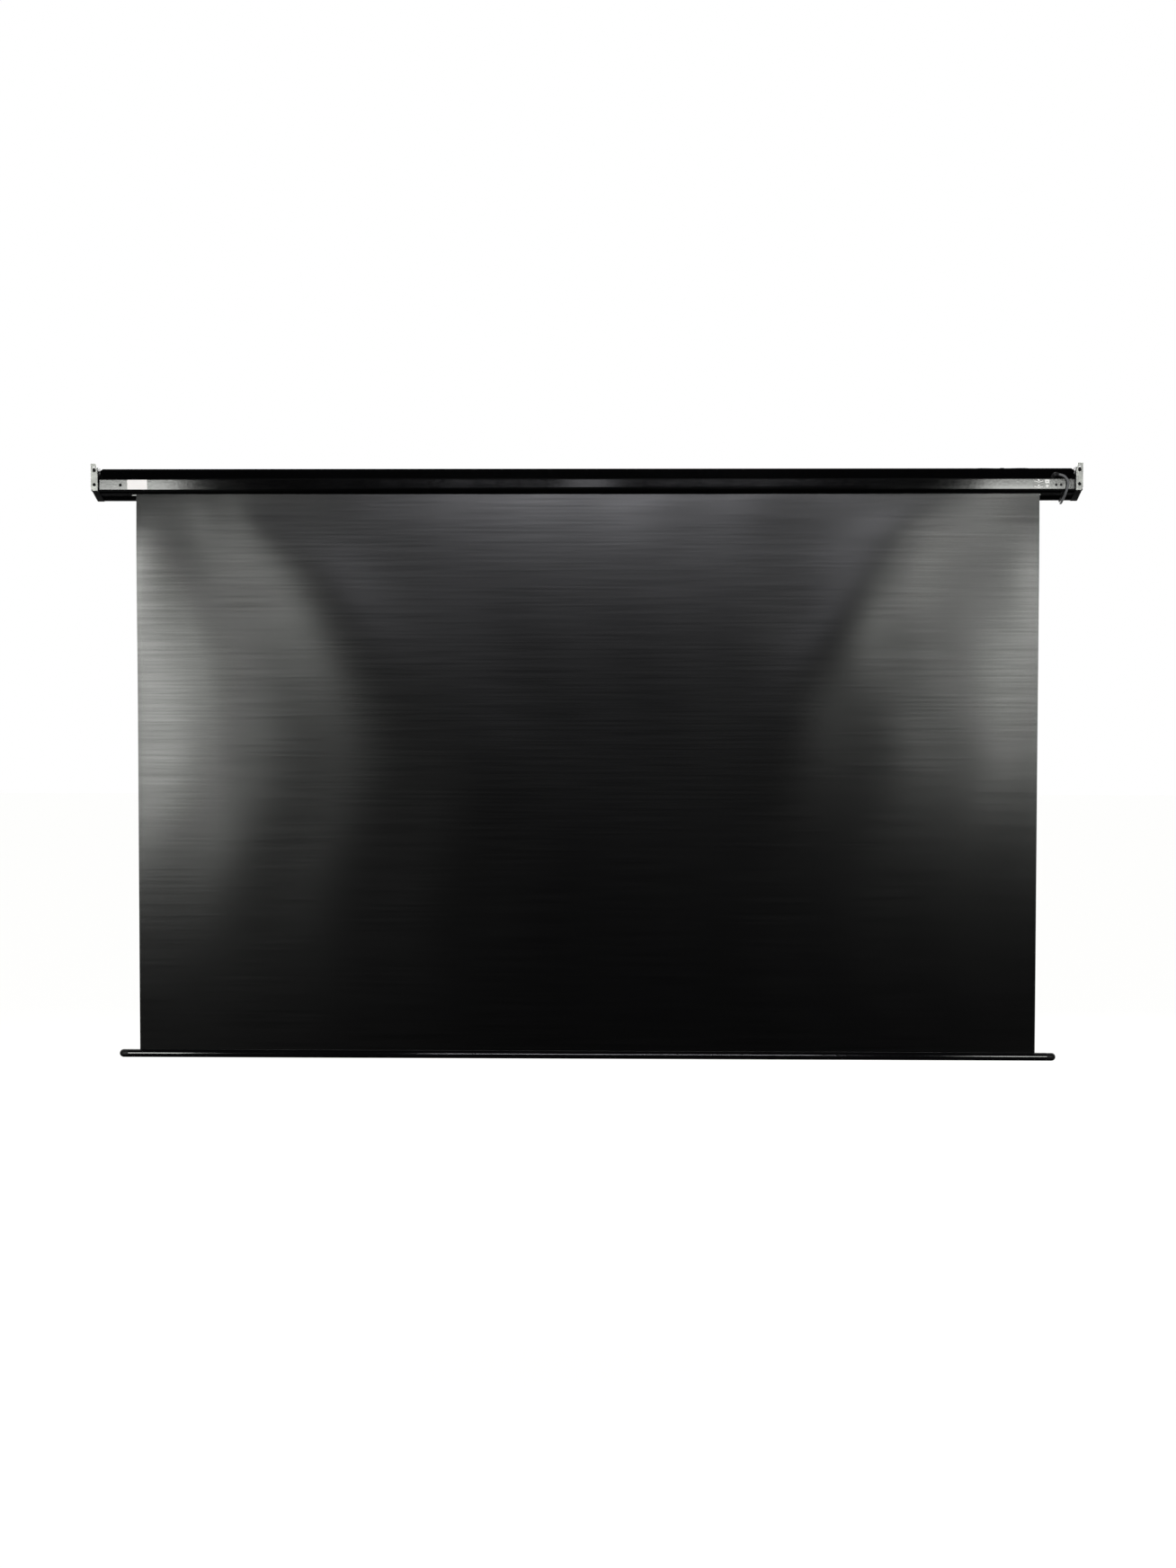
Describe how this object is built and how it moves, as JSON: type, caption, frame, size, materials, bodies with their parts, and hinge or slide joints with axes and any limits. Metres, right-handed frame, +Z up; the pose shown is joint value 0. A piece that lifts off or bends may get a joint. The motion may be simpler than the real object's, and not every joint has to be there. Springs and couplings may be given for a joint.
{
  "type": "motorized projection screen",
  "caption": "Wall-hung motorized projection screen with its white fabric, black at the back, let down from a slim black casing and held straight by a round bar.",
  "frame": {"origin": "in the wall plane, midway between the two wall brackets, level with the middle of the casing's lower rear band", "axes": "+X along the casing to the motor end, +Y from the wall to the audience, +Z up"},
  "size_m": [2.4786, 0.0969, 1.5006],
  "materials": {
    "casing_black": "satin black textured paint",
    "bar_black": "satin black paint",
    "black_plastic": "moulded, matte",
    "zinc_steel": "zinc plated",
    "screw_steel": "plain",
    "motor_body": null,
    "white_plastic": "moulded, matte",
    "black_vinyl": "satin black backing; the front is matte white with black borders",
    "cord_black": "smooth jacket",
    "bronze": "sintered",
    "blade_brass": "bare"
  },
  "bodies": {
    "casing": {"housing_back": "casing_black", "front_cover": "casing_black", "end_cap_left": "black_plastic", "end_cap_right": "black_plastic", "cord_tie": "black_plastic", "wall_bracket_left": "zinc_steel", "wall_bracket_right": "zinc_steel", "motor_bracket": "zinc_steel", "idler_bracket": "zinc_steel", "bracket_screw_left": "screw_steel", "bracket_screw_right": "screw_steel", "cap_screw_left_bottom": "screw_steel", "cap_screw_left_top": "screw_steel", "cap_screw_left_back": "screw_steel", "cap_screw_right_bottom": "screw_steel", "cap_screw_right_top": "screw_steel", "cap_screw_right_back": "screw_steel", "idler_bracket_screw": "screw_steel", "motor_tube": "motor_body", "motor_head": "white_plastic", "screen_sheet": "black_vinyl", "cord_gland": "cord_black", "motor_lead": "cord_black", "cord_hank": "cord_black", "power_cord": "cord_black", "cord_tail": "cord_black", "plug_body": "cord_black", "idler_bearing": "bronze", "plug_blade_a": "blade_brass", "plug_blade_b": "blade_brass"},
    "roller": {"roller_tube": "zinc_steel", "fabric_roll": "black_vinyl", "fabric_tape": "white_plastic", "motor_crown": "white_plastic", "drive_wheel": "white_plastic", "drive_shaft": "screw_steel", "idler_plug": "white_plastic", "idler_pin": "screw_steel"},
    "bar": {"weight_bar": "bar_black", "sheet_hem": "black_vinyl", "hem_rod": "screw_steel", "bar_cap_left": "black_plastic", "bar_cap_right": "black_plastic"},
    "up_limit": {"up_limit_screw": "white_plastic"},
    "down_limit": {"down_limit_screw": "white_plastic"}
  },
  "joints": [
    {"name": "bar_lift", "type": "slide", "parent": "casing", "child": "bar", "axis": [0, 0, 1], "range_m": [0, 1.403], "deforming": ["screen_sheet"]},
    {"name": "roller_turn", "type": "hinge", "parent": "casing", "child": "roller", "pos_m": [0, 0.0575, -0.0015], "axis": [1, 0, 0], "range_deg": [-3170, 0]},
    {"name": "up_limit_turn", "type": "hinge", "parent": "casing", "child": "up_limit", "pos_m": [1.1753, 0, -0.001], "axis": [0, 1, 0], "continuous": true},
    {"name": "down_limit_turn", "type": "hinge", "parent": "casing", "child": "down_limit", "pos_m": [1.1873, 0, -0.001], "axis": [0, 1, 0], "continuous": true}
  ],
  "couplings": [
    {"joint": "roller_turn", "follows": "bar_lift", "rad_per_m": -39.37}
  ]
}
